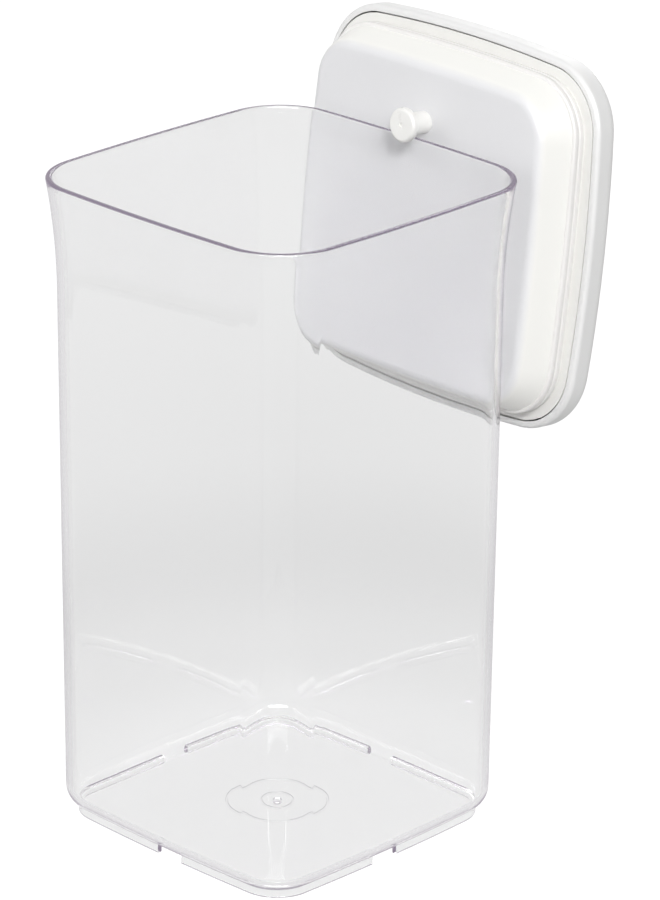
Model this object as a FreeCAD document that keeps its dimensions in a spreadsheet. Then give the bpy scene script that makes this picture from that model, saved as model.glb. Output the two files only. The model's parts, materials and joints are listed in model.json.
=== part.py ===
import FreeCAD, Part
import math
import os
import Sketcher

# Square storage canister with a push-button lid.  The lid is off and hangs on
# the outside of the rim by the peg under its base plate; its button is up.
# Row frame: +Z up, the foot stands on Z = 0, the lid hangs on the +Y side.
# Lid parts are drawn in the lid's own frame: +Z out of the top of the cap,
# Z = 0 on the plane that lands on the jar's rim when the lid is closed.

SIZES = {
    # jar
    "jar_shift": 25.1,
    "jar_height": 294.6,
    "jar_base_half": 73.75,
    "jar_neck_half": 75.35,
    "jar_rim_half": 80.0,
    "jar_corner": 29.2,
    "jar_side_radius": 1150.0,
    "jar_wall": 2.8,
    "jar_floor": 3.0,
    "jar_edge_radius": 10.0,
    "neck_length": 53.0,
    "rim_round": 1.0,
    "foot_height": 3.0,
    "foot_half": 68.3,
    "foot_corner": 21.8,
    "foot_wall": 2.2,
    "foot_gap": 14.5,
    "foot_gap_shift": -2.5,
    "gate_ring": 21.5,
    "gate_small_ring": 8.0,
    "gate_nub": 2.2,
    # cap shell
    "cap_half": 84.6,
    "cap_corner": 31.1,
    "cap_side_radius": 681.1,
    "cap_height": 12.5,
    "cap_skin": 2.5,
    "cap_skirt": 3.2,
    "cap_top_round": 5.0,
    "cap_low_round": 2.0,
    "clip_place": 30.0,
    "clip_inner": 64.0,
    "clip_outer": 66.2,
    "clip_low": -3.2,
    # frame inside the cap
    "plug_side_radius": 1150.0,
    "frame_half": 75.6,
    "frame_corner": 25.1,
    "frame_low": -1.0,
    "frame_step": 0.2,
    "frame_high": 1.4,
    "frame_gap": 0.7,
    "hub_radius": 14.0,
    "hub_high": 6.5,
    "bush_radius": 9.05,
    "bush_low": 2.6,
    "ring_room": 12.6,
    # gasket
    "gasket_half": 76.6,
    "gasket_corner": 26.1,
    "gasket_wide": 5.6,
    "gasket_low": -6.85,
    "gasket_high": -1.1,
    "gasket_round": 1.0,
    # base plate
    "plate_half": 75.0,
    "plate_corner": 24.5,
    "plate_ledge": -6.9,
    "plate_face": -21.2,
    "plate_edge_round": 5.0,
    "plate_taper": 22.0,
    "plate_floor": 2.2,
    "collar_half": 70.8,
    "collar_wall": 3.6,
    "collar_high": -3.6,
    "hook_inner": 32.4,
    "hook_post": 36.2,
    "hook_outer": 39.2,
    "hook_high": -5.0,
    "post_place": 50.0,
    "post_radius": 4.5,
    "post_high": -8.0,
    "shoulder_radius": 2.5,
    # peg under the base plate
    "peg_offset": 44.0,
    "peg_length": 14.0,
    "peg_radius": 4.9,
    "peg_head_radius": 7.6,
    "peg_head": 3.8,
    "peg_round": 1.4,
    "peg_bore": 1.5,
    # button and its shaft
    "button_radius": 36.0,
    "button_top": 22.5,
    "button_skin": 2.2,
    "button_low": 11.6,
    "button_round": 2.0,
    "button_gap": 0.6,
    "boss_radius": 4.4,
    "boss_low": 12.0,
    "shaft_radius": 9.0,
    "shaft_web": 9.0,
    "shaft_bore": 3.8,
    "ring_groove": 8.0,
    "ring_low": 1.3,
    "ring_thick": 1.2,
    "ring_outer": 12.0,
    "spring_radius": 22.0,
    "spring_wire": 0.8,
    "spring_turns": 4.5,
    # levers
    "lever_reach": 21.0,
    "lever_short": 5.0,
    "lever_thick": 2.2,
    "lever_wide": 5.6,
    "lever_boss": 3.0,
    "lever_tilt": 13.77,
    "pivot_radius": 28.5,
    "pivot_drop": -7.7,
    "pin_radius": 1.5,
    "pin_length": 10.0,
    "window_high": 3.2,
    "window_wide": 6.2,
    "window_inner": 5.8,
    # latch
    "latch_pivot": 18.5,
    "latch_reach": 10.9,
    "latch_wide": 1.5,
    "latch_boss": 2.3,
    "latch_low": 6.8,
    "latch_thick": 1.6,
    "latch_angle": 11.43,
    "track_bottom": 7.3,
    "track_half": 3.2,
    "track_low": 6.0,
    "track_high": 19.4,
    # how the lid hangs on the rim
    "hang_tilt": 6.3,
    "hang_yaw": -1.56,
    "hang_x": -0.22,
    "hang_y": 103.82,
    "hang_z": 252.64,
}

doc = FreeCAD.newDocument("canister")
sheet = doc.addObject("Spreadsheet::Sheet", "Sizes")
for row, (alias, number) in enumerate(SIZES.items(), start=1):
    sheet.set("A%d" % row, alias)
    sheet.set("B%d" % row, str(number))
    sheet.setAlias("B%d" % row, alias)
doc.recompute()


def linked(formula):
    """The formula with each size name written as a cell of the sheet."""
    words = []
    word = ""
    for letter in str(formula) + " ":
        if letter.isalnum() or letter in "_.":
            word += letter
            continue
        words.append("Sizes." + word if word in SIZES else word)
        words.append(letter)
        word = ""
    return "".join(words).strip()


def value(formula):
    return float(sheet.evalExpression(linked(formula)))


def new_body(label):
    body = doc.addObject("PartDesign::Body", label)
    body.Label = label
    return body


def sketch_on(body, name, plane="XY_Plane", height=None):
    """A sketch on one of the body's own planes, lifted along its normal."""
    sketch = body.newObject("Sketcher::SketchObject", name)
    for feature in body.Origin.OriginFeatures:
        if feature.Role == plane:
            sketch.AttachmentSupport = [(feature, "")]
    sketch.MapMode = "FlatFace"
    if height is not None:
        sketch.setExpression("AttachmentOffset.Base.z", linked(height))
    return sketch


def set_distance(sketch, kind, geometry, point, formula):
    number = value(formula)
    index = sketch.addConstraint(
        Sketcher.Constraint(kind, -1, 1, geometry, point, number)
    )
    sketch.setExpression("Constraints[%d]" % index, linked(formula))


def set_radius(sketch, geometry, formula):
    index = sketch.addConstraint(
        Sketcher.Constraint("Radius", geometry, value(formula))
    )
    sketch.setExpression("Constraints[%d]" % index, linked(formula))


def arc_between(start, end, radius, turn):
    """Arc from start to end; its centre lies on the left when turn is 1."""
    chord = end - start
    across = FreeCAD.Vector(-chord.y, chord.x, 0).normalize()
    rise = math.sqrt(radius ** 2 - (chord.Length / 2) ** 2)
    centre = (start + end) * 0.5 + across * (turn * rise)
    first, last = (start, end) if turn > 0 else (end, start)
    angle_first = math.atan2(first.y - centre.y, first.x - centre.x)
    angle_last = math.atan2(last.y - centre.y, last.x - centre.x)
    circle = Part.Circle(centre, FreeCAD.Vector(0, 0, 1), radius)
    return Part.ArcOfCircle(circle, angle_first, angle_last)


def outline(sketch, corners, arcs=None):
    """Closed outline through corners, given as pairs of formulas.

    arcs maps the number of a side to (radius formula, turn)."""
    arcs = arcs or {}
    spots = [FreeCAD.Vector(value(x), value(y), 0) for x, y in corners]
    ends = []
    for number, spot in enumerate(spots):
        after = spots[(number + 1) % len(spots)]
        if number in arcs:
            radius, turn = arcs[number]
            arc = arc_between(spot, after, value(radius), turn)
            index = sketch.addGeometry(arc, False)
            set_radius(sketch, index, radius)
            ends.append((index, 1, 2) if turn > 0 else (index, 2, 1))
        else:
            line = Part.LineSegment(spot, after)
            index = sketch.addGeometry(line, False)
            ends.append((index, 1, 2))
    for number, (index, start, _) in enumerate(ends):
        before = ends[number - 1]
        sketch.addConstraint(
            Sketcher.Constraint("Coincident", before[0], before[2], index, start)
        )
        set_distance(sketch, "DistanceX", index, start, corners[number][0])
        set_distance(sketch, "DistanceY", index, start, corners[number][1])
    return sketch


def rectangle(sketch, x_low, x_high, y_low, y_high):
    corners = [(x_low, y_low), (x_high, y_low), (x_high, y_high), (x_low, y_high)]
    return outline(sketch, corners)


def circle(sketch, radius, x="0", y="0"):
    centre = FreeCAD.Vector(value(x), value(y), 0)
    ring = Part.Circle(centre, FreeCAD.Vector(0, 0, 1), value(radius))
    index = sketch.addGeometry(ring, False)
    set_radius(sketch, index, radius)
    set_distance(sketch, "DistanceX", index, 3, x)
    set_distance(sketch, "DistanceY", index, 3, y)
    return sketch


def bowed_square(sketch, half, corner, side_radius):
    """Square of four shallow side arcs and four tangent corner arcs."""
    reach = value(half)
    small = value(corner)
    large = value(side_radius)
    back = large - reach
    gap = (large - small) ** 2 - back ** 2 / 2
    middle = (-back + math.sqrt(2 * gap)) / 2
    lean = math.asin(middle / (large - small))
    axis = FreeCAD.Vector(0, 0, 1)
    sides = []
    rounds = []
    for quarter in range(4):
        turn = FreeCAD.Rotation(axis, 90 * quarter)
        start = math.radians(90 * quarter)
        side_centre = turn.multVec(FreeCAD.Vector(-back, 0, 0))
        side = Part.Circle(side_centre, axis, large)
        arc = Part.ArcOfCircle(side, start - lean, start + lean)
        sides.append(sketch.addGeometry(arc, False))
        corner_centre = turn.multVec(FreeCAD.Vector(middle, middle, 0))
        round_circle = Part.Circle(corner_centre, axis, small)
        arc = Part.ArcOfCircle(round_circle, start + lean, start + math.pi / 2 - lean)
        rounds.append(sketch.addGeometry(arc, False))
    for quarter in range(4):
        following = sides[(quarter + 1) % 4]
        sketch.addConstraint(
            Sketcher.Constraint("Tangent", sides[quarter], 2, rounds[quarter], 1)
        )
        sketch.addConstraint(
            Sketcher.Constraint("Tangent", rounds[quarter], 2, following, 1)
        )
    for others in range(1, 4):
        sketch.addConstraint(Sketcher.Constraint("Equal", sides[0], sides[others]))
        sketch.addConstraint(Sketcher.Constraint("Equal", rounds[0], rounds[others]))
    set_radius(sketch, sides[0], side_radius)
    set_radius(sketch, rounds[0], corner)
    offset = "(%s) - (%s)" % (side_radius, half)
    inward = "(%s) - (%s)" % (half, side_radius)
    places = [(inward, "0"), ("0", inward), (offset, "0"), ("0", offset)]
    for side, (x, y) in zip(sides, places):
        set_distance(sketch, "DistanceX", side, 3, x)
        set_distance(sketch, "DistanceY", side, 3, y)
    return sketch


def pad(body, sketch, name, length, both=False, down=False):
    feature = body.newObject("PartDesign::Pad", name)
    feature.Profile = sketch
    feature.setExpression("Length", linked(length))
    feature.Midplane = both
    feature.Reversed = down
    sketch.Visibility = False
    body.Tip = feature
    doc.recompute()
    return feature


def pocket(body, sketch, name, depth, up=False, both=False):
    feature = body.newObject("PartDesign::Pocket", name)
    feature.Profile = sketch
    feature.setExpression("Length", linked(depth))
    feature.Reversed = up
    feature.Midplane = both
    sketch.Visibility = False
    before = feature.BaseFeature.Shape.Volume
    body.Tip = feature
    doc.recompute()
    if feature.Shape.Volume > before - 0.001:
        raise ValueError("%s removes nothing" % name)
    return feature


def edges_at(feature, height, tolerance=0.01):
    """Names of the edges that lie wholly at one height."""
    names = []
    for number, edge in enumerate(feature.Shape.Edges, start=1):
        box = edge.BoundBox
        if abs(box.ZMin - height) < tolerance and abs(box.ZMax - height) < tolerance:
            names.append("Edge%d" % number)
    return names


def fillet(body, feature, names, name, radius):
    rounded = body.newObject("PartDesign::Fillet", name)
    rounded.Base = (feature, names)
    rounded.setExpression("Radius", linked(radius))
    body.Tip = rounded
    doc.recompute()
    return rounded


def polar(body, features, name, count=4):
    """Repeats features around the body's Z axis."""
    pattern = body.newObject("PartDesign::PolarPattern", name)
    pattern.Originals = features
    for feature in body.Origin.OriginFeatures:
        if feature.Role == "Z_Axis":
            pattern.Axis = (feature, [""])
    pattern.Angle = 360
    pattern.Occurrences = count
    body.Tip = pattern
    doc.recompute()
    return pattern


def revolution(body, sketch, name):
    """Turns a sketch in the XZ plane around the body's Z axis."""
    feature = body.newObject("PartDesign::Revolution", name)
    feature.Profile = sketch
    feature.ReferenceAxis = (sketch, ["V_Axis"])
    feature.Angle = 360
    sketch.Visibility = False
    body.Tip = feature
    doc.recompute()
    return feature


def place_in_lid(body, x="0", y="0", z="0", turn="0", swing="0", tilt="0"):
    """Puts a body into the hanging lid: swung, tilted and moved, then turned."""
    lid_spot = "vector(hang_x; hang_y - jar_shift; hang_z)"
    lid = "placement(%s; rotation(180 + hang_yaw; 0; 90 + hang_tilt))" % lid_spot
    spin = "placement(vector(0; 0; 0); rotation(%s; 0; 0))" % turn
    spot = "vector(%s; %s; %s)" % (x, y, z)
    own = "placement(%s; rotation(%s; %s; 0))" % (spot, swing, tilt)
    body.setExpression("Placement", linked("%s * %s * %s" % (lid, spin, own)))


# --- jar -------------------------------------------------------------------
jar = new_body("jar")
jar.setExpression("Placement.Base.y", linked("-jar_shift"))

foot = sketch_on(jar, "foot_outline")
bowed_square(foot, "foot_half", "foot_corner", "jar_side_radius")
bowed_square(
    foot,
    "foot_half - foot_wall",
    "foot_corner - foot_wall",
    "jar_side_radius - foot_wall",
)
pad(jar, foot, "foot_ring", "foot_height + 1.5")
gap_low = "foot_gap_shift - foot_gap / 2"
gap_high = "foot_gap_shift + foot_gap / 2"
gap_inner = "foot_half - foot_wall - 2"
gap_outer = "foot_half + 2"
gaps = [
    (gap_inner, gap_outer, gap_low, gap_high),
    (gap_low, gap_high, gap_inner, gap_outer),
]
for number, sides in enumerate(gaps, start=1):
    gap = sketch_on(jar, "foot_gap_outline_%d" % number)
    rectangle(gap, *sides)
    opposite = ["-(%s)" % side for side in sides]
    rectangle(gap, opposite[1], opposite[0], opposite[3], opposite[2])
    pocket(jar, gap, "foot_gap_%d" % number, "foot_height + 2", up=True)

path = sketch_on(jar, "wall_path")
bowed_square(path, "jar_rim_half", "jar_corner", "jar_side_radius")
path.Visibility = False
flare = "(jar_rim_half - jar_neck_half)"
flare_radius = "(neck_length ^ 2 + %s ^ 2) / (2 * %s)" % (flare, flare)
floor_half = "jar_base_half - jar_edge_radius"
section = sketch_on(jar, "wall_section", "XZ_Plane")
outline(
    section,
    [
        (floor_half, "foot_height"),
        ("jar_base_half", "foot_height + jar_edge_radius"),
        ("jar_neck_half", "jar_height - neck_length"),
        ("jar_rim_half", "jar_height"),
        ("jar_rim_half - jar_wall", "jar_height"),
        ("jar_neck_half - jar_wall", "jar_height - neck_length"),
        ("jar_base_half - jar_wall", "foot_height + jar_edge_radius"),
        (floor_half, "foot_height + jar_floor"),
    ],
    {
        0: ("jar_edge_radius", 1),
        2: (flare_radius, -1),
        4: (flare_radius, 1),
        6: ("jar_edge_radius - jar_floor", -1),
    },
)
wall = jar.newObject("PartDesign::AdditivePipe", "wall")
wall.Profile = section
wall.Spine = (path, [])
wall.Transition = "Transformed"
section.Visibility = False
jar.Tip = wall
doc.recompute()
floor = sketch_on(jar, "floor_outline", height="foot_height")
inset = "(jar_rim_half - jar_base_half + jar_edge_radius)"
bowed_square(floor, floor_half, "jar_corner - " + inset, "jar_side_radius - " + inset)
base = pad(jar, floor, "floor", "jar_floor")
rings = sketch_on(jar, "gate_ring_outlines", height="foot_height - 0.4")
for radius in ("gate_ring", "gate_small_ring"):
    circle(rings, radius + " + 0.5")
    circle(rings, radius + " - 0.5")
pad(jar, rings, "gate_rings", "0.6")
nub = circle(sketch_on(jar, "gate_nub_outline", height="foot_height - 1.5"), "gate_nub")
base = pad(jar, nub, "gate_mark", "1.8")
fillet(jar, base, edges_at(base, value("jar_height")), "rim_rounding", "rim_round")

# --- cap shell: top, skirt, button guide and clips --------------------------
cap = new_body("cap_shell")
block = bowed_square(
    sketch_on(cap, "cap_outline"), "cap_half", "cap_corner", "cap_side_radius"
)
solid = pad(cap, block, "cap_block", "cap_height")
solid = fillet(
    cap, solid, edges_at(solid, value("cap_height")), "top_rounding", "cap_top_round"
)
solid = fillet(cap, solid, edges_at(solid, 0), "low_rounding", "cap_low_round")
room = bowed_square(
    sketch_on(cap, "room_outline"),
    "cap_half - cap_skirt",
    "cap_corner - cap_skirt",
    "cap_side_radius - cap_skirt",
)
pocket(cap, room, "room", "cap_height - cap_skin", up=True)
guide = sketch_on(cap, "guide_outline", height="frame_high + 0.6")
circle(guide, "button_radius + button_gap + 2")
circle(guide, "button_radius + button_gap")
pad(cap, guide, "button_guide", "cap_height - cap_skin - frame_high - 0.5")
mouth = circle(sketch_on(cap, "button_hole_outline"), "button_radius + button_gap")
pocket(cap, mouth, "button_hole", "cap_height + 1", up=True)
leg = sketch_on(cap, "clip_leg_outlines", height="clip_low")
nose = sketch_on(cap, "clip_nose_outlines", height="clip_low")
for middle in ("-clip_place", "clip_place"):
    low = middle + " - 4"
    high = middle + " + 4"
    rectangle(leg, "clip_inner", "clip_outer", low, high)
    rectangle(nose, "clip_inner - 1.4", "clip_inner + 0.5", low, high)
legs = pad(cap, leg, "clip_legs", "cap_height - cap_skin - clip_low + 0.1")
noses = pad(cap, nose, "clip_noses", "frame_low - clip_low - 0.15")
polar(cap, [legs, noses], "clips")
place_in_lid(cap)

# --- frame: plate inside the cap with hub, lever ears and latch post --------
frame = new_body("frame")
upper = bowed_square(
    sketch_on(frame, "frame_upper_outline", height="frame_step"),
    "cap_half - cap_skirt - frame_gap",
    "cap_corner - cap_skirt - frame_gap",
    "cap_side_radius - cap_skirt - frame_gap",
)
pad(frame, upper, "frame_upper", "frame_high - frame_step")
lower = bowed_square(
    sketch_on(frame, "frame_lower_outline", height="frame_low"),
    "frame_half",
    "frame_corner",
    "plug_side_radius",
)
pad(frame, lower, "frame_lower", "frame_high - frame_low")
hub = circle(sketch_on(frame, "hub_outline", height="frame_low"), "hub_radius")
pad(frame, hub, "hub", "hub_high - frame_low")
bush = circle(sketch_on(frame, "bush_outline", height="frame_low"), "bush_radius")
pocket(frame, bush, "bush", "hub_high - frame_low + 1", up=True)
seat = circle(sketch_on(frame, "ring_room_outline", height="frame_low"), "ring_room")
pocket(frame, seat, "ring_seat", "bush_low - frame_low", up=True)
ears = sketch_on(frame, "ear_outlines", height="pivot_drop - 3")
for low, high in (("3.1", "pin_length / 2"), ("-pin_length / 2", "-3.1")):
    rectangle(ears, "pivot_radius - 3", "pivot_radius + 3", low, high)
ear = pad(frame, ears, "ear_pair", "frame_low - pivot_drop + 3.2")
polar(frame, [ear], "ears")
for plane in ("XZ_Plane", "YZ_Plane"):
    holes = sketch_on(frame, "pin_holes_" + plane[:2], plane)
    circle(holes, "pin_radius", "pivot_radius", "pivot_drop")
    circle(holes, "pin_radius", "-pivot_radius", "pivot_drop")
    pocket(frame, holes, "pin_bores_" + plane[:2], "pin_length + 2", both=True)
slots = sketch_on(frame, "clip_slot_outlines", height="frame_low")
for middle in ("-clip_place", "clip_place"):
    rectangle(
        slots, "clip_inner - 1.6", "clip_outer + 0.2", middle + " - 4.2", middle + " + 4.2"
    )
slot = pocket(frame, slots, "clip_slots", "frame_high - frame_low + 1", up=True)
polar(frame, [slot], "clip_slots_all")
shoulders = sketch_on(frame, "shoulder_hole_outlines", height="frame_low")
for x in ("-post_place", "post_place"):
    for y in ("-post_place", "post_place"):
        circle(shoulders, "shoulder_radius + 0.1", x, y)
pocket(frame, shoulders, "shoulder_holes", "frame_high - frame_low + 1", up=True)
column = circle(
    sketch_on(frame, "latch_post_outline", height="frame_low"), "2.2", "latch_pivot"
)
pad(frame, column, "latch_post", "latch_low - 0.2 - frame_low")
bore = circle(
    sketch_on(frame, "latch_bore_outline", height="frame_high"), "1", "latch_pivot"
)
pocket(frame, bore, "latch_bore", "latch_low", up=True)
place_in_lid(frame)

# --- gasket ------------------------------------------------------------------
gasket = new_body("gasket")
ring = sketch_on(gasket, "gasket_outline", height="gasket_low")
bowed_square(ring, "gasket_half", "gasket_corner", "plug_side_radius")
bowed_square(
    ring,
    "gasket_half - gasket_wide",
    "gasket_corner - gasket_wide",
    "plug_side_radius - gasket_wide",
)
solid = pad(gasket, ring, "gasket_ring", "gasket_high - gasket_low")
rims = edges_at(solid, value("gasket_low")) + edges_at(solid, value("gasket_high"))
outer = []
for name in rims:
    if solid.Shape.getElement(name).BoundBox.DiagonalLength > 30:
        reach = max(math.hypot(v.X, v.Y) for v in solid.Shape.getElement(name).Vertexes)
        if reach > value("gasket_half") * 1.1:
            outer.append(name)
fillet(gasket, solid, outer, "gasket_rounding", "gasket_round")
place_in_lid(gasket)

# --- base plate: the tray that closes the plug from below --------------------
plate = new_body("base_plate")
block = bowed_square(
    sketch_on(plate, "plate_outline", height="plate_ledge"),
    "plate_half",
    "plate_corner",
    "plug_side_radius",
)
solid = pad(plate, block, "plate_block", "plate_ledge - plate_face", down=True)
solid.setExpression("TaperAngle", linked("-plate_taper * 1 deg"))
doc.recompute()
fillet(
    plate, solid, edges_at(solid, value("plate_face")), "face_rounding", "plate_edge_round"
)
collar_drop = "(plate_half - collar_half)"
collar = bowed_square(
    sketch_on(plate, "collar_outline", height="plate_ledge"),
    "collar_half",
    "plate_corner - " + collar_drop,
    "plug_side_radius - " + collar_drop,
)
pad(plate, collar, "collar", "collar_high - plate_ledge")
hollow_drop = "(plate_half - collar_half + collar_wall)"
hollow = bowed_square(
    sketch_on(plate, "hollow_outline", height="plate_face + plate_floor"),
    "collar_half - collar_wall",
    "plate_corner - " + hollow_drop,
    "plug_side_radius - " + hollow_drop,
)
pocket(plate, hollow, "hollow", "collar_high - plate_face + 1", up=True)
posts = sketch_on(plate, "hook_post_outline", height="plate_face + 1")
rectangle(posts, "hook_post", "hook_outer", "-4", "4")
hook_post = pad(plate, posts, "hook_post_block", "hook_high - plate_face - 1")
lever_half = "lever_thick / 2"
nose_low = "pivot_drop - lever_short * sin(lever_tilt * 1 deg) + %s + 0.3" % lever_half
noses = sketch_on(plate, "hook_nose_outline", height=nose_low)
rectangle(noses, "hook_inner", "hook_post + 1", "-2.5", "2.5")
hook_nose = pad(plate, noses, "hook_nose", "hook_high - (%s)" % nose_low)
polar(plate, [hook_post, hook_nose], "hooks")
posts = sketch_on(plate, "post_outlines", height="plate_face + 1")
bores = sketch_on(plate, "post_bore_outlines", height="post_high")
for x in ("-post_place", "post_place"):
    for y in ("-post_place", "post_place"):
        circle(posts, "post_radius", x, y)
        circle(bores, "peg_bore", x, y)
pad(plate, posts, "posts", "post_high - plate_face - 1")
pocket(plate, bores, "post_bores", "9")
hole = sketch_on(plate, "peg_hole_outline", height="plate_face - 1")
circle(hole, "peg_bore + 0.1", "0", "peg_offset")
pocket(plate, hole, "peg_hole", "plate_floor + 2", up=True)
place_in_lid(plate)

# --- peg that the lid hangs by ------------------------------------------------
peg = new_body("hook_peg")
half = sketch_on(peg, "peg_section", "XZ_Plane")
outline(
    half,
    [
        ("peg_bore", "0"),
        ("peg_bore", "peg_head - peg_length"),
        ("0", "peg_head - peg_length"),
        ("0", "0.6 - peg_length"),
        ("1.2", "0.6 - peg_length"),
        ("1.2", "-peg_length"),
        ("peg_head_radius", "-peg_length"),
        ("peg_head_radius", "peg_head - peg_length"),
        ("peg_radius", "peg_head - peg_length"),
        ("peg_radius", "0"),
    ],
)
solid = revolution(peg, half, "peg_spool")
rims = []
for depth in ("-peg_length", "peg_head - peg_length"):
    for name in edges_at(solid, value(depth)):
        if solid.Shape.getElement(name).BoundBox.XLength > 1.8 * value("peg_head_radius"):
            rims.append(name)
fillet(peg, solid, rims, "peg_rounding", "peg_round")
place_in_lid(peg, y="peg_offset", z="plate_face")


def screw(label, shank, length, head, thick, places=(("0", "0"),), shoulder=None):
    """Screws pointing down, their heads standing on the body's Z = 0."""
    body = new_body(label)
    heads = sketch_on(body, label + "_heads")
    shanks = sketch_on(body, label + "_shanks")
    recesses = sketch_on(body, label + "_recesses", height=thick)
    for x, y in places:
        circle(heads, head, x, y)
        circle(shanks, shank, x, y)
        circle(recesses, "(%s) * 0.45" % head, x, y)
    pad(body, heads, label + "_head", thick)
    if shoulder:
        radius, reach = shoulder
        shoulders = sketch_on(body, label + "_shoulders")
        for x, y in places:
            circle(shoulders, radius, x, y)
        pad(body, shoulders, label + "_shoulder", reach, down=True)
    pad(body, shanks, label + "_shank", length, down=True)
    pocket(body, recesses, label + "_recess", "(%s) * 0.55" % thick)
    return body


peg_screw = screw("peg_screw", "peg_bore", "9.5 + plate_floor", "3.2", "1.8")
place_in_lid(peg_screw, y="peg_offset", z="plate_face + plate_floor")
corners = []
for x in ("-post_place", "post_place"):
    for y in ("-post_place", "post_place"):
        corners.append((x, y))
shoulder_screws = screw(
    "shoulder_screws",
    "peg_bore",
    "frame_high + 0.1 - post_high + 8",
    "5",
    "2",
    corners,
    ("shoulder_radius", "frame_high + 0.1 - post_high"),
)
place_in_lid(shoulder_screws, z="frame_high + 0.1")

# --- button and its shaft -----------------------------------------------------
button = new_body("button")
half = sketch_on(button, "button_section", "XZ_Plane")
under = "button_top - button_skin"
outline(
    half,
    [
        ("0", "button_top"),
        ("0", "boss_low + 6.6"),
        ("peg_bore", "boss_low + 6.6"),
        ("peg_bore", "boss_low"),
        ("boss_radius", "boss_low"),
        ("boss_radius", under),
        ("button_radius - button_skin", under),
        ("button_radius - button_skin", "button_low"),
        ("button_radius", "button_low"),
        ("button_radius", "button_top - button_round"),
        ("button_radius - button_round", "button_top"),
    ],
    {9: ("button_round", 1)},
)
revolution(button, half, "button_cup")
place_in_lid(button)

shaft = new_body("button_shaft")
half = sketch_on(shaft, "shaft_section", "XZ_Plane")
window = "frame_low - 1.7"
shaft_low = window + " - window_high"
groove_low = "ring_low - 0.05"
groove_high = "ring_low + ring_thick + 0.05"
outline(
    half,
    [
        ("shaft_bore", shaft_low),
        ("shaft_radius", shaft_low),
        ("shaft_radius", groove_low),
        ("ring_groove", groove_low),
        ("ring_groove", groove_high),
        ("shaft_radius", groove_high),
        ("shaft_radius", under),
        ("boss_radius + 0.1", under),
        ("boss_radius + 0.1", "boss_low - 0.1"),
        ("peg_bore + 0.2", "boss_low - 0.1"),
        ("peg_bore + 0.2", "shaft_web"),
        ("shaft_bore", "shaft_web"),
    ],
)
revolution(shaft, half, "shaft_tube")
panes = sketch_on(shaft, "window_outline", height=window + " - window_high / 2")
rectangle(
    panes, "window_inner", "shaft_radius + 1", "-window_wide / 2", "window_wide / 2"
)
pane = pocket(shaft, panes, "window", "window_high", up=True)
polar(shaft, [pane], "windows")
track = sketch_on(shaft, "track_outline", "YZ_Plane", height="track_bottom")
rectangle(track, "-track_half", "track_half", "track_low", "track_high")
outline(
    track,
    [
        ("0", "track_low + 4.3"),
        ("1", "track_low + 5.4"),
        ("1", "track_low + 10.2"),
        ("0", "track_low + 9.6"),
        ("-1", "track_low + 10.5"),
        ("-1", "track_low + 5.4"),
    ],
)
pocket(shaft, track, "latch_track", "shaft_radius", up=True)
place_in_lid(shaft)

shaft_screw = screw("shaft_screw", "peg_bore - 0.05", "9.1", "3.4", "2")
place_in_lid(shaft_screw, z="shaft_web - 0.02", tilt="180")

clip = new_body("retaining_ring")
ring = sketch_on(clip, "ring_outline", height="ring_low")
circle(ring, "ring_outer")
circle(ring, "ring_groove + 0.03")
pad(clip, ring, "ring", "ring_thick")
mouth = sketch_on(clip, "ring_mouth_outline", height="ring_low - 1")
rectangle(mouth, "-4.5", "4.5", "0", "ring_outer + 1")
pocket(clip, mouth, "ring_mouth", "ring_thick + 2", up=True)
place_in_lid(clip)

spring = new_body("return_spring")
wire = sketch_on(spring, "spring_wire", "XZ_Plane")
circle(wire, "spring_wire", "spring_radius", "frame_high + spring_wire + 0.1")
coil = spring.newObject("PartDesign::AdditiveHelix", "coil")
coil.Profile = wire
coil.ReferenceAxis = (wire, ["V_Axis"])
coil.Mode = 2
coil.setExpression("Height", linked(under + " - frame_high - 2 * spring_wire - 0.3"))
coil.setExpression("Turns", linked("spring_turns"))
wire.Visibility = False
spring.Tip = coil
place_in_lid(spring)

# --- levers between the button shaft and the base plate's hooks ---------------
for number in range(4):
    lever = new_body("lever_%d" % (number + 1))
    side = sketch_on(lever, "lever_section", "XZ_Plane")
    low = "-" + lever_half
    neck = "sqrt(lever_boss ^ 2 - (%s) ^ 2)" % lever_half
    outline(
        side,
        [
            ("-lever_reach", low),
            ("-" + neck, low),
            (neck, low),
            ("lever_short", low),
            ("lever_short", lever_half),
            (neck, lever_half),
            ("-" + neck, lever_half),
            ("-lever_reach", lever_half),
        ],
        {
            1: ("lever_boss", 1),
            3: ("lever_thick * 0.55", 1),
            5: ("lever_boss", 1),
            7: ("lever_thick * 0.55", 1),
        },
    )
    circle(side, "pin_radius + 0.06")
    pad(lever, side, "lever_bar", "lever_wide", both=True)
    place_in_lid(
        lever, "pivot_radius", z="pivot_drop", turn=str(90 * number), tilt="lever_tilt"
    )

pins = new_body("lever_pins")
for plane in ("XZ_Plane", "YZ_Plane"):
    ends = sketch_on(pins, "pin_ends_" + plane[:2], plane)
    circle(ends, "pin_radius", "pivot_radius", "pivot_drop")
    circle(ends, "pin_radius", "-pivot_radius", "pivot_drop")
    pad(pins, ends, "pin_pair_" + plane[:2], "pin_length", both=True)
place_in_lid(pins)

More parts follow.
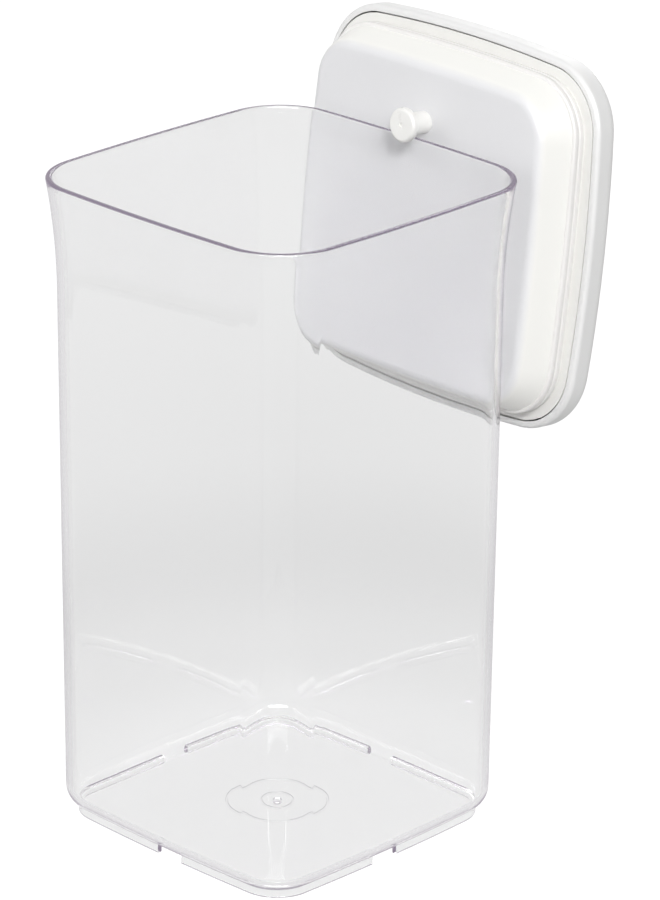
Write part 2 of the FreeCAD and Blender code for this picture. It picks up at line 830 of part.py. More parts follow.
# --- latch that holds the button down -----------------------------------------
arm = new_body("latch_arm")
bar = sketch_on(arm, "arm_outline")
rectangle(bar, "-latch_reach", "0", "-latch_wide / 2", "latch_wide / 2")
pad(arm, bar, "arm_bar", "latch_thick")
pad(arm, circle(sketch_on(arm, "arm_boss_outline"), "latch_boss"), "arm_boss", "latch_thick")
eye = circle(sketch_on(arm, "arm_eye_outline"), "1.25")
pocket(arm, eye, "arm_eye", "latch_thick + 1", up=True)
place_in_lid(arm, "latch_pivot", z="latch_low", swing="latch_angle")
latch_screw = screw(
    "latch_screw", "1", "6", "2", "1.1", shoulder=("1.2", "latch_thick + 0.2")
)
place_in_lid(latch_screw, "latch_pivot", z="latch_low + latch_thick + 0.1")

doc.recompute()
os.makedirs("parts", exist_ok=True)
for thing in doc.Objects:
    if "Invalid" in thing.State or "Error" in thing.State:
        raise ValueError("%s is not valid: %s" % (thing.Name, thing.State))
for body in doc.findObjects("PartDesign::Body"):
    if body.Shape.isNull() or not body.Shape.isValid():
        raise ValueError("%s has no valid shape" % body.Label)
    body.Shape.exportStep(os.path.join("parts", body.Label + ".step"))
    print(body.Label, round(body.Shape.Volume, 1), len(body.Shape.Solids))
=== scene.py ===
import json
import math

import bmesh
import bpy
from mathutils import Matrix, Vector


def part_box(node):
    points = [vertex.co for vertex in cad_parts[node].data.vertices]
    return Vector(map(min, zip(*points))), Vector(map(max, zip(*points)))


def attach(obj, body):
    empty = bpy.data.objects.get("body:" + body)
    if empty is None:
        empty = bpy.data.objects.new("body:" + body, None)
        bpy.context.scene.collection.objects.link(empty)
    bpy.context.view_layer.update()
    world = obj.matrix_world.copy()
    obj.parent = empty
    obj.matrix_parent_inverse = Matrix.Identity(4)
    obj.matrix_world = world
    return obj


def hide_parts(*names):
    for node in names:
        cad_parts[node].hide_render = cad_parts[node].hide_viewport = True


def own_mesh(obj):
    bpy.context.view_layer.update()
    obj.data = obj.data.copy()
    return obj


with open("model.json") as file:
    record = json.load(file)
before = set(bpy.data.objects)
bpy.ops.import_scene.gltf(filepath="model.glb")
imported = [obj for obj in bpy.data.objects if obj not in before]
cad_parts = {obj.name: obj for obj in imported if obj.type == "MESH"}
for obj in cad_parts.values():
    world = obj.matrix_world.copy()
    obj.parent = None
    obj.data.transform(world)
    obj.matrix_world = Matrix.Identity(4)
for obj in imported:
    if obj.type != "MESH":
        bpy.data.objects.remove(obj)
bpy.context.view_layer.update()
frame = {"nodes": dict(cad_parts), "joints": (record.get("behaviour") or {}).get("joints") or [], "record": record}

# Lengths of the modelled pieces are in millimetres until they are multiplied by MM.
MM = 0.001


# ---------------------------------------------------------------- shader helpers
def node_tree(name):
    material = bpy.data.materials.new(name)
    material.use_nodes = True
    tree = material.node_tree
    tree.nodes.clear()
    return material, tree


def add(tree, kind, **values):
    """A new node; each value goes to the input of that name, or else to the node's own setting."""
    node = tree.nodes.new(kind)
    for key, value in values.items():
        if key in node.inputs:
            node.inputs[key].default_value = value
        else:
            setattr(node, key, value)
    return node


def maths(tree, operation, first, second=None):
    """An operation on a linked value; the second value is a number, another link, or none."""
    node = add(tree, "ShaderNodeMath", operation=operation)
    tree.links.new(first, node.inputs[0])
    if isinstance(second, float):
        node.inputs[1].default_value = second
    elif second is not None:
        tree.links.new(second, node.inputs[1])
    return node.outputs[0]


def ramp(tree, source, low, high, start, end):
    """From low to high as the source goes from start to end, and level beyond them."""
    node = add(tree, "ShaderNodeMapRange")
    node.inputs["From Min"].default_value = start
    node.inputs["From Max"].default_value = end
    node.inputs["To Min"].default_value = low
    node.inputs["To Max"].default_value = high
    tree.links.new(source, node.inputs["Value"])
    return node.outputs["Result"]


def noise(tree, scale, detail, roughness=0.5):
    place = add(tree, "ShaderNodeTexCoord")
    node = add(tree, "ShaderNodeTexNoise")
    node.inputs["Scale"].default_value = scale
    node.inputs["Detail"].default_value = detail
    node.inputs["Roughness"].default_value = roughness
    tree.links.new(place.outputs["Object"], node.inputs["Vector"])
    return node.outputs["Fac"]


def mixed_colour(tree, amount, first, second):
    """A blend of two colours; the first is a colour or a link, the second a colour."""
    node = add(tree, "ShaderNodeMix", data_type="RGBA")
    tree.links.new(amount, node.inputs["Factor"])
    if isinstance(first, tuple):
        node.inputs["A"].default_value = (*first, 1)
    else:
        tree.links.new(first, node.inputs["A"])
    node.inputs["B"].default_value = (*second, 1)
    return node.outputs["Result"]


def mixed_shader(tree, amount, first, second):
    node = add(tree, "ShaderNodeMixShader")
    for socket, source in zip(node.inputs, (amount, first, second)):
        tree.links.new(source, socket)
    return node.outputs["Shader"]


def bumped(tree, height, strength, distance):
    node = add(tree, "ShaderNodeBump")
    node.inputs["Strength"].default_value = strength
    node.inputs["Distance"].default_value = distance
    tree.links.new(height, node.inputs["Height"])
    return node.outputs["Normal"]


# ---------------------------------------------------------------- materials
CLOUD_SCALE = 18.0
CLOUD_DETAIL = 4.0
CLOUD_START = 0.3
CLOUD_END = 0.6
SCUFF_SCALE = 60.0
SCUFF_DETAIL = 6.0
SCUFF_ROUGHNESS = 0.65
SCUFF_START = 0.35
SCUFF_END = 0.65
GRAIN_SCALE = 900.0
GRAIN_DETAIL = 2.0
GRAIN_STRENGTH = 0.6
GRAIN_DEPTH = 0.00002


def moulded(name, colour, dark, rough, metallic=0.0, sheen=0.0):
    """Moulded plastic, rubber or metal: cloudy colour, fine grain, scuffed gloss."""
    material, tree = node_tree(name)
    shader = add(tree, "ShaderNodeBsdfPrincipled")
    out = add(tree, "ShaderNodeOutputMaterial")
    tree.links.new(shader.outputs["BSDF"], out.inputs["Surface"])
    clouds = ramp(tree, noise(tree, CLOUD_SCALE, CLOUD_DETAIL), 0.0, 1.0, CLOUD_START, CLOUD_END)
    tree.links.new(mixed_colour(tree, clouds, dark, colour), shader.inputs["Base Color"])
    scuffs = noise(tree, SCUFF_SCALE, SCUFF_DETAIL, SCUFF_ROUGHNESS)
    gloss = ramp(tree, scuffs, rough[0], rough[1], SCUFF_START, SCUFF_END)
    tree.links.new(gloss, shader.inputs["Roughness"])
    grain = noise(tree, GRAIN_SCALE, GRAIN_DETAIL)
    tree.links.new(bumped(tree, grain, GRAIN_STRENGTH, GRAIN_DEPTH), shader.inputs["Normal"])
    shader.inputs["Metallic"].default_value = metallic
    shader.inputs["Sheen Weight"].default_value = sheen
    return material


# Painted light: faces that turn away from an axis by this much take a lighter, warmer tone, as if lit more.
LIT_SIDE_START = 0.45
LIT_SIDE_END = 0.9


def paint_lit_sides(material, axis, lit_tone):
    """A second, lighter and warmer tone on the faces that look away from an axis, as on the plug's sides: painted
    light, for sides lit more than the face.
    """
    tree = material.node_tree
    shader = next(node for node in tree.nodes if node.type == "BSDF_PRINCIPLED")
    base = shader.inputs["Base Color"].links[0].from_socket
    place = add(tree, "ShaderNodeTexCoord")
    along = add(tree, "ShaderNodeVectorMath", operation="DOT_PRODUCT")
    along.inputs[1].default_value = axis
    tree.links.new(place.outputs["Normal"], along.inputs[0])
    size = maths(tree, "ABSOLUTE", along.outputs["Value"])
    lit_mask = ramp(tree, size, 1.0, 0.0, LIT_SIDE_START, LIT_SIDE_END)
    tree.links.new(mixed_colour(tree, lit_mask, base, lit_tone), shader.inputs["Base Color"])


# Light with more glossy bounces behind it than this is let out of a wall, tinted violet.
PIPED_BOUNCES = 2.5
PIPED_TINT = (0.32, 0.265, 0.36)
# It is tinted at the first surface it leaves by; the later ones let it pass nearly whole.
LATER_SURFACE = 0.5
LATER_TINT = (0.98, 0.98, 0.98)
SHADOW_TINT = (0.94, 0.94, 0.945, 1)
CLEAR_TINT = (0.992, 0.994, 0.993, 1)
CLEAR_IOR = 1.5
HAZE_SCALE = 40.0
HAZE_DETAIL = 5.0
HAZE_ROUGHNESS = 0.6
HAZE_MOST = 0.02
HAZE_START = 0.5
HAZE_END = 0.8
FLOW_SCALE = 9.0
FLOW_STRENGTH = 0.05
FLOW_DEPTH = 0.0003
VOLUME_TINT = (0.66, 0.50, 0.64, 1)
VOLUME_DENSITY = 3.0


def clear_plastic(name):
    """Clear moulded plastic: faint haze and flow marks, violet absorption through its edges."""
    material, tree = node_tree(name)
    shader = add(tree, "ShaderNodeBsdfPrincipled")
    out = add(tree, "ShaderNodeOutputMaterial")
    path = add(tree, "ShaderNodeLightPath")
    piped = maths(tree, "GREATER_THAN", path.outputs["Glossy Depth"], PIPED_BOUNCES)
    later = maths(tree, "GREATER_THAN", path.outputs["Transparent Depth"], LATER_SURFACE)
    leak = add(tree, "ShaderNodeBsdfTransparent")
    tree.links.new(mixed_colour(tree, later, PIPED_TINT, LATER_TINT), leak.inputs["Color"])
    wall = mixed_shader(tree, piped, shader.outputs["BSDF"], leak.outputs["BSDF"])
    clear = add(tree, "ShaderNodeBsdfTransparent", Color=SHADOW_TINT)
    whole = mixed_shader(tree, path.outputs["Is Shadow Ray"], wall, clear.outputs["BSDF"])
    tree.links.new(whole, out.inputs["Surface"])
    shader.inputs["Transmission Weight"].default_value = 1.0
    shader.inputs["IOR"].default_value = CLEAR_IOR
    shader.inputs["Base Color"].default_value = CLEAR_TINT
    haze = noise(tree, HAZE_SCALE, HAZE_DETAIL, HAZE_ROUGHNESS)
    haze = ramp(tree, haze, 0.0, HAZE_MOST, HAZE_START, HAZE_END)
    tree.links.new(haze, shader.inputs["Roughness"])
    flow = bumped(tree, noise(tree, FLOW_SCALE, 0.0), FLOW_STRENGTH, FLOW_DEPTH)
    tree.links.new(flow, shader.inputs["Normal"])
    volume = add(tree, "ShaderNodeVolumeAbsorption")
    volume.inputs["Color"].default_value = VOLUME_TINT
    volume.inputs["Density"].default_value = VOLUME_DENSITY
    tree.links.new(volume.outputs["Volume"], out.inputs["Volume"])
    return material


SATIN = (0.35, 0.5)
# slot: colour, darker colour, range of roughness, other settings
FINISHES = {
    "white_shell": ((0.85, 0.85, 0.845), (0.83, 0.83, 0.825), SATIN, {}),
    "white_inner": ((0.90, 0.895, 0.87), (0.88, 0.875, 0.85), SATIN, {}),
    "white_plug": ((0.815, 0.815, 0.83), (0.795, 0.795, 0.81), SATIN, {}),
    "white_peg": ((0.93, 0.925, 0.90), (0.90, 0.895, 0.87), (0.25, 0.4), {}),
    "white_button": ((0.82, 0.82, 0.83), (0.79, 0.79, 0.80), SATIN, {}),
    "gasket_rubber": ((0.87, 0.855, 0.84), (0.85, 0.835, 0.82), (0.5, 0.65), {"sheen": 0.1}),
    "shaft_plastic": ((0.74, 0.73, 0.70), (0.70, 0.69, 0.66), SATIN, {}),
    "lever_plastic": ((0.76, 0.75, 0.71), (0.72, 0.71, 0.67), SATIN, {}),
    "latch_plastic": ((0.20, 0.22, 0.25), (0.16, 0.18, 0.21), SATIN, {}),
    "screw_steel": ((0.60, 0.61, 0.63), (0.5, 0.51, 0.53), (0.22, 0.4), {"metallic": 1.0}),
    "spring_steel": ((0.45, 0.45, 0.48), (0.36, 0.36, 0.39), (0.25, 0.45), {"metallic": 1.0}),
}
MATERIALS = {
    slot: moulded(slot, colour, dark, rough, **others)
    for slot, (colour, dark, rough, others) in FINISHES.items()
}
MATERIALS["jar_plastic"] = clear_plastic("jar_plastic")

# The lid's own axes and origin, read from the joints: Z points out of the lid's top.
JOINTS = {joint["name"]: joint for joint in frame["joints"]}
LID_Z = -Vector(JOINTS["button_press"]["axis"]).normalized()
LID_Y = Vector(JOINTS["lid_lift"]["axis"]).normalized()
LID_X = LID_Y.cross(LID_Z)
PIVOTS = [JOINTS["rocker_%d_turn" % number] for number in (1, 2, 3, 4)]
PIVOT_DROP = 7.7
LID = sum((Vector(pivot["pos_m"]) for pivot in PIVOTS), Vector()) / len(PIVOTS)
LID += LID_Z * PIVOT_DROP * MM
# Painted light on the plug: its sides are lighter and warmer than its face.
PLUG_SIDE_LIT = (0.96, 0.955, 0.92)
paint_lit_sides(MATERIALS["white_plug"], LID_Z, PLUG_SIDE_LIT)


def in_lid(x, y, z):
    return LID + (LID_X * x + LID_Y * y + LID_Z * z) * MM


for part in frame["record"]["subparts"]:
    thing = frame["nodes"][part["node"]]
    thing.data.materials.clear()
    thing.data.materials.append(MATERIALS[part["material_slot"]])


# ---------------------------------------------------------------- mesh helpers
def linked(name, data):
    thing = bpy.data.objects.new(name, data)
    bpy.context.scene.collection.objects.link(thing)
    return thing


def finished(name, mesh, sharp):
    """An object from a bmesh, smooth but for edges sharper than an angle in degrees."""
    bmesh.ops.recalc_face_normals(mesh, faces=mesh.faces)
    data = bpy.data.meshes.new(name)
    mesh.to_mesh(data)
    mesh.free()
    for face in data.polygons:
        face.use_smooth = True
    data.set_sharp_from_angle(angle=math.radians(sharp))
    return linked(name, data)


def skinned(mesh, low, high):
    """Faces between two rings of as many vertices."""
    for k in range(len(low)):
        after = (k + 1) % len(low)
        mesh.faces.new((low[k], low[after], high[after], high[k]))


# ---------------------------------------------------------------- jar
HEIGHT = 294.6
RIM_HALF = 80.0
NECK_HALF = 75.35
BASE_HALF = 73.75
NECK_TALL = 53.0
CORNER_RADIUS = 29.2
SIDE_RADIUS = 1150.0
WALL = 2.8
FLOOR_LOW = 3.0
FLOOR_HIGH = 6.0
EDGE_RADIUS = 10.0
INNER_EDGE_TALL = 7.0
RIM_ROUND = 1.0
RIM_INNER_SPARE = 0.17
RIM_OUTER_INSET = 1.21
FOOT_HALF = 68.3
FOOT_WALL = 2.2
FOOT_SIDE = SIDE_RADIUS - (RIM_HALF - FOOT_HALF)
GAP_LOW = -9.75
GAP_HIGH = 4.75
PIT_HIGH = 1.5
TOUCHING = 1e-6
MERGED = 1e-7
JAR_SHARP = 40

FLOOR_RINGS = (6, 20, 40)
EDGE_STEPS = 10
WALL_STEPS = 14
NECK_STEPS = 24
RIM_STEPS = 7
FOOT_STEPS = 4

# The foot's profile: how far from its outer or inner face, and how high.
FOOT_OUTSIDE = ((0.02, 0.5), (0.17, 0.15), (0.5, 0.0))
FOOT_INSIDE = ((-0.5, 0.0), (-0.15, 0.15), (0.0, 0.5))
# The underside's middle, as radius and height: two fine ring grooves and the gate's pit.
GATE_RINGS = (
    (40, 3.0), (30, 3.0), (22.0, 3.0), (21.9, 2.6), (21.1, 2.6), (21.0, 3.0), (12, 3.0),
    (8.5, 3.0), (8.4, 2.6), (7.6, 2.6), (7.5, 3.0), (4, 3.0), (2.2, 3.0), (2.1, 1.7), (1.8, 1.5),
)


def outline_columns(half, corner, gaps=(), per_side=22, per_corner=18):
    """Points and outward directions round a bowed square, as (point, normal, quarter, angle).

    The angle is None at the corners. Each end of a gap gets two columns in one place."""
    back = SIDE_RADIUS - half
    bow = SIDE_RADIUS - corner
    middle = (math.sqrt(2 * bow ** 2 - back ** 2) - back) / 2
    lean = math.asin(middle / bow)
    columns = []
    for quarter in range(4):
        turn = Matrix.Rotation(math.pi / 2 * quarter, 2)
        angles = [-lean + 2 * lean * k / per_side for k in range(per_side)]
        for low, high in gaps:
            first, last = (low, high) if quarter in (0, 2) else (-high, -low)
            angles += [first, first, last, last]
        for angle in sorted(angles):
            normal = Vector((math.cos(angle), math.sin(angle)))
            point = Vector((-back, 0)) + normal * SIDE_RADIUS
            columns.append((turn @ point, turn @ normal, quarter, angle))
        for k in range(per_corner):
            angle = lean + (math.pi / 2 - 2 * lean) * k / per_corner
            normal = Vector((math.cos(angle), math.sin(angle)))
            point = Vector((middle, middle)) + normal * corner
            columns.append((turn @ point, turn @ normal, quarter, None))
    return columns


def flare(height):
    """How far the outer wall stands out at a height in the neck."""
    rise = RIM_HALF - NECK_HALF
    radius = (NECK_TALL ** 2 + rise ** 2) / (2 * rise)
    up = height - (HEIGHT - NECK_TALL)
    return radius - math.sqrt(radius ** 2 - up ** 2)


def underside(inset):
    """Height of the jar's outer bottom at an inset from the rim's outline."""
    from_centre = RIM_HALF - BASE_HALF + EDGE_RADIUS - inset
    if from_centre <= 0:
        return FLOOR_LOW
    return FLOOR_LOW + EDGE_RADIUS - math.sqrt(EDGE_RADIUS ** 2 - from_centre ** 2)


def jar_rows():
    """Rows from the middle of the inner floor over the rim to the middle of the underside.

    Each row is (round or inset, radius or inset, height, height where the foot has a gap). The
    last is None where a gap changes nothing."""
    rows = [("round", radius, FLOOR_HIGH, None) for radius in FLOOR_RINGS]
    centre = RIM_HALF - BASE_HALF + EDGE_RADIUS
    inner = RIM_HALF - BASE_HALF + WALL
    neck_inner = RIM_HALF - NECK_HALF + WALL
    low = FLOOR_LOW + EDGE_RADIUS
    neck = HEIGHT - NECK_TALL
    top = HEIGHT - RIM_ROUND

    # inside: the floor's rounded edge, the wall and the neck
    for k in range(EDGE_STEPS + 1):
        angle = math.pi / 2 * k / EDGE_STEPS
        inset = centre - (centre - inner) * math.sin(angle)
        rows.append(("inset", inset, FLOOR_HIGH + INNER_EDGE_TALL * (1 - math.cos(angle)), None))
    for k in range(1, WALL_STEPS + 1):
        height = low + (neck - low) * k / WALL_STEPS
        inset = inner + (neck_inner - inner) * k / WALL_STEPS
        rows.append(("inset", inset, height, None))
    for k in range(1, NECK_STEPS + 1):
        height = neck + (NECK_TALL - RIM_ROUND) * k / NECK_STEPS
        rows.append(("inset", neck_inner - flare(height), height, None))

    # the rim's two rounded edges
    for k in range(1, RIM_STEPS + 1):
        angle = math.pi / 2 * k / RIM_STEPS
        inset = WALL + RIM_INNER_SPARE - RIM_ROUND + RIM_ROUND * math.cos(angle)
        rows.append(("inset", inset, top + RIM_ROUND * math.sin(angle), None))
    for k in range(RIM_STEPS + 1):
        angle = math.pi / 2 * k / RIM_STEPS
        inset = RIM_OUTER_INSET - RIM_ROUND * math.sin(angle)
        rows.append(("inset", inset, top + RIM_ROUND * math.cos(angle), None))

    # outside: the neck, the wall and the rounded bottom edge as far as the foot
    for k in range(1, NECK_STEPS + 1):
        height = top - (NECK_TALL - RIM_ROUND) * k / NECK_STEPS
        rows.append(("inset", RIM_HALF - NECK_HALF - flare(height), height, None))
    for k in range(1, WALL_STEPS + 1):
        height = neck + (low - neck) * k / WALL_STEPS
        inset = RIM_HALF - NECK_HALF + (NECK_HALF - BASE_HALF) * k / WALL_STEPS
        rows.append(("inset", inset, height, None))
    foot_out = RIM_HALF - FOOT_HALF
    foot_in = foot_out + FOOT_WALL
    last = math.acos((centre - foot_out) / EDGE_RADIUS)
    for k in range(1, EDGE_STEPS + 1):
        inset = centre - EDGE_RADIUS * math.cos(last * k / EDGE_STEPS)
        rows.append(("inset", inset, underside(inset), None))

    # the foot, which is level with the underside in its gaps, and the underside within it
    foot = [(foot_out + away, height) for away, height in FOOT_OUTSIDE]
    foot += [(foot_in + away, height) for away, height in FOOT_INSIDE]
    foot.append((foot_in, underside(foot_in)))
    rows += [("inset", inset, height, underside(inset)) for inset, height in foot]
    for k in range(1, FOOT_STEPS + 1):
        inset = foot_in + (centre - foot_in) * k / FOOT_STEPS
        rows.append(("inset", inset, underside(inset), None))
    rows += [("round", radius, height, None) for radius, height in GATE_RINGS]
    return rows


def in_gap(quarter, angle):
    if angle is None:
        return False
    across = FOOT_SIDE * math.sin(angle)
    if quarter in (1, 3):
        across = -across
    return GAP_LOW + TOUCHING < across < GAP_HIGH - TOUCHING


def gap_flags(columns):
    """Which columns lie in a gap; of the two at a gap's end, one keeps the foot, one doesn't."""
    flags = [in_gap(quarter, angle) for _, _, quarter, angle in columns]
    for number, (_, _, _, angle) in enumerate(columns):
        after = (number + 1) % len(columns)
        if angle is not None and columns[after][3] == angle:
            _, _, quarter, previous = columns[number - 1]
            flags[number] = in_gap(quarter, previous)
            flags[after] = not flags[number]
    return flags


def jar_mesh(name, centre):
    gap = (math.asin(GAP_LOW / FOOT_SIDE), math.asin(GAP_HIGH / FOOT_SIDE))
    columns = outline_columns(RIM_HALF, CORNER_RADIUS, [gap])
    flags = gap_flags(columns)
    mesh = bmesh.new()

    def vertex(x, y, z):
        return mesh.verts.new((centre.x + x * MM, centre.y + y * MM, centre.z + z * MM))

    grid = []
    for kind, size, height, gap_height in jar_rows():
        line = []
        for (point, normal, _, _), is_gap in zip(columns, flags):
            spot = point.normalized() * size if kind == "round" else point - normal * size
            z = gap_height if is_gap and gap_height is not None else height
            line.append(vertex(spot.x, spot.y, z))
        grid.append(line)
    for low, high in zip(grid, grid[1:]):
        skinned(mesh, low, high)
    for line, height, turned in ((grid[0], FLOOR_HIGH, True), (grid[-1], PIT_HIGH, False)):
        hub = vertex(0, 0, height)
        for k in range(len(line)):
            near, far = line[k], line[(k + 1) % len(line)]
            mesh.faces.new((far, near, hub) if turned else (near, far, hub))
    bmesh.ops.remove_doubles(mesh, verts=mesh.verts, dist=MERGED)
    bmesh.ops.dissolve_degenerate(mesh, edges=mesh.edges, dist=MERGED)
    return finished(name, mesh, JAR_SHARP)


low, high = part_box("jar")
middle = Vector(((low.x + high.x) / 2, (low.y + high.y) / 2, low.z))
jar = jar_mesh("jar_clear", middle)
jar.data.materials.append(MATERIALS["jar_plastic"])
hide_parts("jar")
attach(jar, "jar")


# ---------------------------------------------------------------- gasket and spring
BAND_SHARP = 50


def band(name, rows, closed):
    """A skin over rows of points: closed joins the last row to the first, open has end faces."""
    mesh = bmesh.new()
    grid = [[mesh.verts.new(spot) for spot in row] for row in rows]
    following = grid[1:] + grid[:1] if closed else grid[1:]
    for near, far in zip(grid, following):
        skinned(mesh, near, far)
    if not closed:
        mesh.faces.new(grid[0])
        mesh.faces.new(grid[-1])
    return finished(name, mesh, BAND_SHARP)


def rounded(inset, height, radius, first, last, steps=6):
    """Points of a profile's rounded corner, from one angle to another in degrees."""
    turns = [math.radians(first + (last - first) * k / steps) for k in range(steps + 1)]
    return [(inset - radius * math.cos(turn), height + radius * math.sin(turn)) for turn in turns]


GASKET_HALF = 76.6
GASKET_CORNER = 26.1
GASKET_WIDE = 5.6
GASKET_LOW = -6.85
GASKET_HIGH = -1.1
LIP_ROUND = 1.0
# the groove between the gasket's two lips
GROOVE_LOW_LIP = -4.75
GROOVE_LOW = -4.2
GROOVE_HIGH = -3.75
GROOVE_HIGH_LIP = -3.2
GROOVE_DEEP = 0.5
GROOVE_ROUND = 0.3
GROOVE_TURN = 80
GROOVE_STEPS = 3
profile = [(GASKET_WIDE, GASKET_LOW)]
profile += rounded(LIP_ROUND, GASKET_LOW + LIP_ROUND, LIP_ROUND, -90, 0)
profile += rounded(GROOVE_ROUND, GROOVE_LOW_LIP, GROOVE_ROUND, 0, GROOVE_TURN, GROOVE_STEPS)
profile += [(GROOVE_DEEP, GROOVE_LOW), (GROOVE_DEEP, GROOVE_HIGH)]
profile += rounded(GROOVE_ROUND, GROOVE_HIGH_LIP, GROOVE_ROUND, -GROOVE_TURN, 0, GROOVE_STEPS)
profile += rounded(LIP_ROUND, GASKET_HIGH - LIP_ROUND, LIP_ROUND, 0, 90)
profile += [(GASKET_WIDE, GASKET_HIGH)]
ring = outline_columns(GASKET_HALF, GASKET_CORNER, per_side=24, per_corner=20)
rows = []
for inset, height in profile:
    spots = [point - normal * inset for point, normal, _, _ in ring]
    rows.append([in_lid(spot.x, spot.y, height) for spot in spots])
gasket = band("gasket_ring", rows, True)
gasket.data.materials.append(MATERIALS["gasket_rubber"])
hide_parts("gasket")
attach(gasket, "lid_base")
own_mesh(gasket)

COIL_RADIUS = 22.0
COIL_WIRE = 0.78
COIL_LOW = 2.3
COIL_HIGH = 19.3
COIL_TURNS = 4.5
COIL_STEPS = 48
WIRE_SIDES = 14
wire_angles = [2 * math.pi * side / WIRE_SIDES for side in range(WIRE_SIDES)]
coil = []
total = int(COIL_STEPS * COIL_TURNS)
for k in range(total + 1):
    turn = 2 * math.pi * k / COIL_STEPS
    outward = LID_X * math.cos(turn) + LID_Y * math.sin(turn)
    height = COIL_LOW + (COIL_HIGH - COIL_LOW) * k / total
    core = LID + (outward * COIL_RADIUS + LID_Z * height) * MM
    coil.append([
        core + (outward * math.cos(angle) + LID_Z * math.sin(angle)) * COIL_WIRE * MM
        for angle in wire_angles
    ])
spring = band("return_coil", coil, False)
spring.data.materials.append(MATERIALS["spring_steel"])
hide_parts("return_spring")
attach(spring, "lid_cap")
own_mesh(spring)


# ---------------------------------------------------------------- stage and light
AFTER_DIFFUSE = 0.25


def mixed_level(tree, amount, low, high):
    """A blend of two levels; each value is a number or a link."""
    node = add(tree, "ShaderNodeMix", data_type="FLOAT")
    sockets = (node.inputs[0], node.inputs[2], node.inputs[3])
    for socket, value in zip(sockets, (amount, low, high)):
        if isinstance(value, float):
            socket.default_value = value
        else:
            tree.links.new(value, socket)
    return node.outputs[0]


def brightness(tree, through, round_about):
    """Full white to the camera, one level through or in clear plastic, another as light on
    things, and a low one as light on things through the plastic."""
    seen = add(tree, "ShaderNodeLightPath")
    passed = seen.outputs["Is Transmission Ray"]
    clear = maths(tree, "MAXIMUM", passed, seen.outputs["Is Glossy Ray"])
    first = mixed_level(tree, clear, round_about, through)
    later = mixed_level(tree, passed, round_about, AFTER_DIFFUSE)
    deep = ramp(tree, seen.outputs["Diffuse Depth"], 0.0, 1.0, 0.0, 1.0)
    level = mixed_level(tree, deep, first, later)
    return maths(tree, "MAXIMUM", seen.outputs["Is Camera Ray"], level)


WHITE = (1, 1, 1, 1)
FLOOR_REACH = 6.0
FLOOR_GREY = (0.1, 0.1, 0.1, 1)
FLOOR_LIGHT = 0.45
# The floor's level through the plastic, by distance in metres from the middle: a painted shadow, darker in a ring
# round the jar.
FLOOR_SHADE_STOPS = (
    (0.0, 0.765), (0.08, 0.765), (0.16, 0.705), (0.26, 0.655), (0.42, 0.73), (0.8, 0.76),
)


def floor_paper():
    """Pale paper that gives its own light and can't be seen from below; seen through the plastic, its light is
    darker in a ring round the jar, a painted shadow.
    """
    material, tree = node_tree("floor_paper")
    paper = add(tree, "ShaderNodeBsdfDiffuse", Color=FLOOR_GREY)
    glow = add(tree, "ShaderNodeEmission", Color=WHITE)
    place = add(tree, "ShaderNodeTexCoord")
    reach = add(tree, "ShaderNodeVectorMath", operation="LENGTH")
    tree.links.new(place.outputs["Object"], reach.inputs[0])
    # This ramp paints a shadow round the jar into the paper's light.
    shade = add(tree, "ShaderNodeValToRGB")
    shade.color_ramp.interpolation = "EASE"
    for spot, _ in FLOOR_SHADE_STOPS[1:-1]:
        shade.color_ramp.elements.new(spot)
    elements = sorted(shade.color_ramp.elements, key=lambda element: element.position)
    for element, (spot, grey) in zip(elements, FLOOR_SHADE_STOPS):
        element.position = spot
        element.color = (grey, grey, grey, 1)
    tree.links.new(reach.outputs["Value"], shade.inputs["Fac"])
    level = brightness(tree, shade.outputs["Color"], FLOOR_LIGHT)
    tree.links.new(level, glow.inputs["Strength"])
    both = add(tree, "ShaderNodeAddShader")
    tree.links.new(paper.outputs[0], both.inputs[0])
    tree.links.new(glow.outputs[0], both.inputs[1])
    below = add(tree, "ShaderNodeNewGeometry")
    nothing = add(tree, "ShaderNodeBsdfTransparent")
    sided = mixed_shader(tree, below.outputs["Backfacing"], both.outputs[0], nothing.outputs[0])
    out = add(tree, "ShaderNodeOutputMaterial")
    tree.links.new(sided, out.inputs["Surface"])
    return material


floor = bpy.data.meshes.new("floor")
corners = ((-1, -1), (1, -1), (1, 1), (-1, 1))
floor.from_pydata([(x * FLOOR_REACH, y * FLOOR_REACH, 0) for x, y in corners], [], [(0, 1, 2, 3)])
floor.materials.append(floor_paper())
floor_thing = linked("floor", floor)

SKY_THROUGH = 0.80
SKY_BRIGHT = 0.84
SKY_DARK = 0.12
SKY_DARK_WAY = (0.75, 0.65, 0.0)
world = bpy.data.worlds.new("studio")
bpy.context.scene.world = world
world.use_nodes = True
sky = world.node_tree
sky.nodes.clear()
back = add(sky, "ShaderNodeBackground", Color=WHITE)
place = add(sky, "ShaderNodeTexCoord")
toward = add(sky, "ShaderNodeVectorMath", operation="DOT_PRODUCT")
toward.inputs[1].default_value = SKY_DARK_WAY
sky.links.new(place.outputs["Generated"], toward.inputs[0])
soft = ramp(sky, toward.outputs["Value"], SKY_BRIGHT, SKY_DARK, -1.0, 1.0)
sky.links.new(brightness(sky, SKY_THROUGH, soft), back.inputs["Strength"])
world_out = add(sky, "ShaderNodeOutputWorld")
sky.links.new(back.outputs[0], world_out.inputs["Surface"])


def softbox(name, spot, aim, width, height, power):
    """A lamp that isn't seen through the clear plastic, so that it lights nothing twice."""
    lamp = bpy.data.lights.new(name, "AREA")
    lamp.shape = "RECTANGLE"
    lamp.size = width
    lamp.size_y = height
    lamp.energy = power
    thing = linked(name, lamp)
    thing.location = spot
    thing.rotation_euler = (Vector(aim) - Vector(spot)).to_track_quat("-Z", "Y").to_euler()
    thing.visible_transmission = False
    return thing


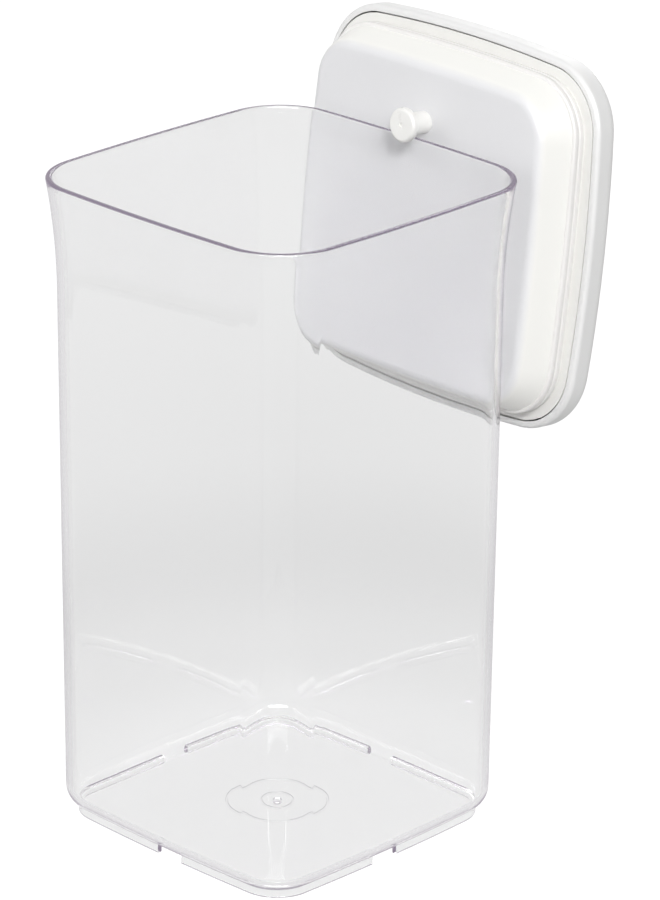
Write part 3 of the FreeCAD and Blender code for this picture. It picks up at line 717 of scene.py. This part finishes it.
LID_AIM = (0, 0.05, 0.2)
JAR_AIM = (0, 0.0, 0.2)
softbox("key", (1.65, -1.3, 1.7), LID_AIM, width=0.6, height=0.6, power=38)
softbox("fill", (-1.3, -1.6, 1.2), LID_AIM, width=1.2, height=1.2, power=3)
# The glint is only for reflections and what shows through the plastic: it lights no matt surface.
glint = softbox("glint", (1.55, -1.55, 1.75), JAR_AIM, width=3.0, height=0.7, power=260)
glint.visible_diffuse = False
glint.visible_transmission = True
glint.data.use_nodes = True
bulb = glint.data.node_tree
bulb.nodes.clear()
glow = add(bulb, "ShaderNodeEmission", Color=WHITE)
seen = add(bulb, "ShaderNodeLightPath")
strength = ramp(bulb, seen.outputs["Diffuse Depth"], 1.0, 0.0, 0.0, 1.0)
bulb.links.new(strength, glow.inputs["Strength"])
bulb_out = add(bulb, "ShaderNodeOutputLight")
bulb.links.new(glow.outputs[0], bulb_out.inputs["Surface"])
softbox("back", (-0.9, 2.0, 1.3), LID_AIM, width=1.4, height=1.4, power=15)

# ---------------------------------------------------------------- camera
# The camera's place round the jar, and how far it looks past the jar's axis, in degrees.
ROUND_JAR = 44.98
PAST_AXIS = 0.62
AZIMUTH = math.radians(ROUND_JAR)
HEADING = math.radians(ROUND_JAR - PAST_AXIS)
DISTANCE = 2.004
EYE = 0.9696
PITCH = math.radians(21.73)
ROLL = math.radians(0.60)
LENS = 200.83
SENSOR = 36.0
camera_data = bpy.data.cameras.new("camera")
camera_data.lens = LENS
camera_data.sensor_width = SENSOR
camera = linked("camera", camera_data)
level = math.cos(PITCH)
forward = Vector((-math.sin(HEADING) * level, math.cos(HEADING) * level, -math.sin(PITCH)))
level_right = Vector((math.cos(HEADING), math.sin(HEADING), 0))
level_up = level_right.cross(forward)
right = level_right * math.cos(ROLL) + level_up * math.sin(ROLL)
up = right.cross(forward)
axes = Matrix((right, up, -forward)).transposed().to_4x4()
side, away = DISTANCE * math.sin(AZIMUTH), DISTANCE * math.cos(AZIMUTH)
axes.translation = Vector((side, middle.y - away, EYE))
camera.matrix_world = axes
bpy.context.scene.camera = camera
bpy.context.scene.view_settings.view_transform = "Standard"
